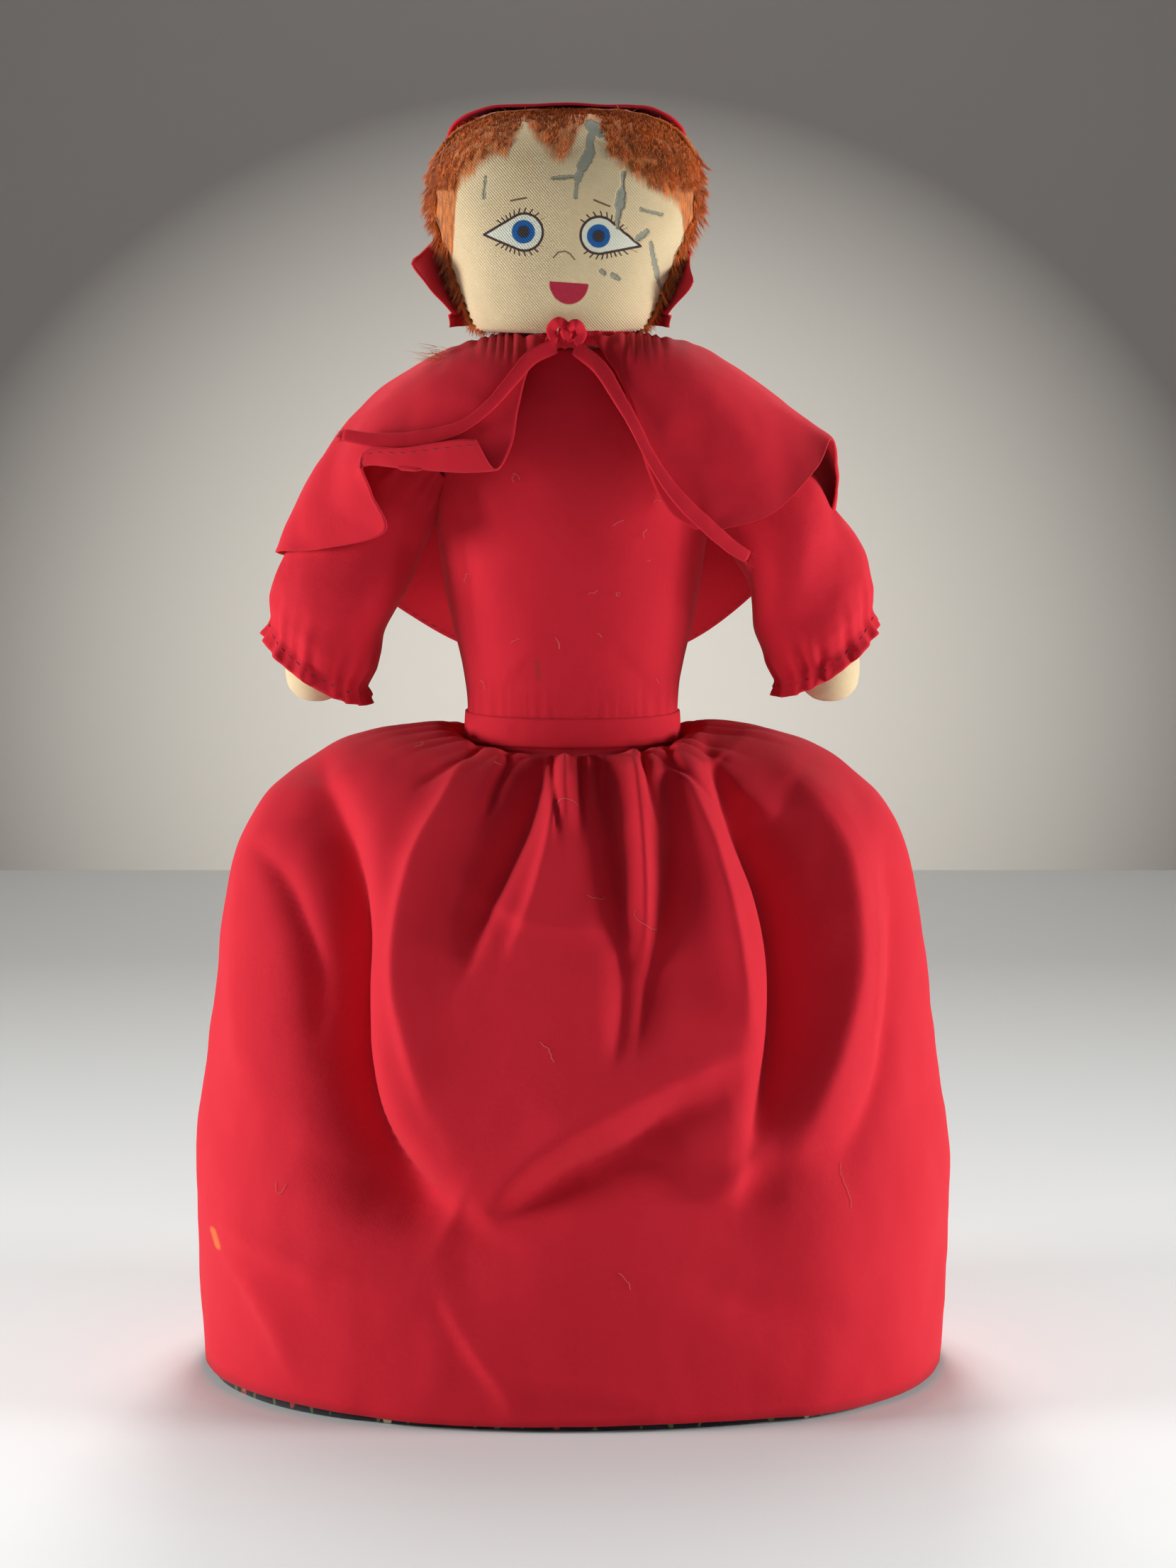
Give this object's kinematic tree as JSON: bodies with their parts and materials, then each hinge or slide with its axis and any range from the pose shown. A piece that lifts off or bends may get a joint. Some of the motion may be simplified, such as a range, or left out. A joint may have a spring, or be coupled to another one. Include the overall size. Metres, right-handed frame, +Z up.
{
  "type": "topsy turvy doll",
  "caption": "Stuffed cloth doll in a red dress, hood and cape, with a doll in dark print head down under its double skirt.",
  "frame": {"origin": "under the middle of the doll on the surface it stands on", "axes": "+Z up from the hem to the red hood, the doll faces -Y, and its right side as seen is +X"},
  "size_m": [0.2258, 0.1483, 0.3734],
  "materials": {
    "red_cotton": "matte plain weave",
    "print_cotton": "matte plain weave, small flowers",
    "cream_twill": "matte twill",
    "orange_plush": "pile",
    "fibre_fill": "loose fibre",
    "elastic": "woven elastic"
  },
  "bodies": {
    "root": {"body_skin_front": "cream_twill", "body_skin_back": "cream_twill", "body_stuffing": "fibre_fill", "neck_casing": "red_cotton", "tie_knot": "red_cotton", "tie_tail_left": "red_cotton", "tie_tail_right": "red_cotton", "red_cape": "red_cotton", "red_face_panel": "cream_twill", "red_head_back": "orange_plush", "red_head_stuffing": "fibre_fill", "red_bodice_front": "red_cotton", "red_bodice_back": "red_cotton", "red_waistband": "red_cotton", "red_skirt": "red_cotton", "print_face_panel": "cream_twill", "print_head_back": "orange_plush", "print_head_stuffing": "fibre_fill", "print_bodice_front": "print_cotton", "print_bodice_back": "print_cotton", "print_waistband": "print_cotton", "print_skirt": "print_cotton"},
    "red_left_arm": {"red_left_arm_skin": "cream_twill", "red_left_arm_stuffing": "fibre_fill", "red_left_sleeve": "red_cotton", "red_left_cuff_elastic": "elastic"},
    "red_right_arm": {"red_right_arm_skin": "cream_twill", "red_right_arm_stuffing": "fibre_fill", "red_right_sleeve": "red_cotton", "red_right_cuff_elastic": "elastic"},
    "print_left_arm": {"print_left_arm_skin": "cream_twill", "print_left_arm_stuffing": "fibre_fill", "print_left_sleeve": "print_cotton", "print_left_cuff_elastic": "elastic"},
    "print_right_arm": {"print_right_arm_skin": "cream_twill", "print_right_arm_stuffing": "fibre_fill", "print_right_sleeve": "print_cotton", "print_right_cuff_elastic": "elastic"},
    "hood": {"red_hood": "red_cotton"}
  },
  "joints": [
    {"name": "red_left_shoulder", "type": "hinge", "parent": "root", "child": "red_left_arm", "pos_m": [-0.04596, 0, 0.271], "axis": [0, 1, 0], "range_deg": [-8, 60], "stiffness_Nm_per_rad": 0.1, "deforming": ["red_cape"]},
    {"name": "red_right_shoulder", "type": "hinge", "parent": "root", "child": "red_right_arm", "pos_m": [0.04596, 0, 0.271], "axis": [0, -1, 0], "range_deg": [-8, 60], "stiffness_Nm_per_rad": 0.1, "deforming": ["red_cape"]},
    {"name": "print_left_shoulder", "type": "hinge", "parent": "root", "child": "print_left_arm", "pos_m": [0.04596, 0, 0.1], "axis": [0, 1, 0], "range_deg": [-8, 3], "stiffness_Nm_per_rad": 0.1},
    {"name": "print_right_shoulder", "type": "hinge", "parent": "root", "child": "print_right_arm", "pos_m": [-0.04596, 0, 0.1], "axis": [0, -1, 0], "range_deg": [-8, 3], "stiffness_Nm_per_rad": 0.1},
    {"name": "hood_fold", "type": "hinge", "parent": "root", "child": "hood", "pos_m": [0, 0.0229, 0.3101], "axis": [-1, 0, 0], "range_deg": [0, 130], "deforming": ["red_hood"]}
  ]
}
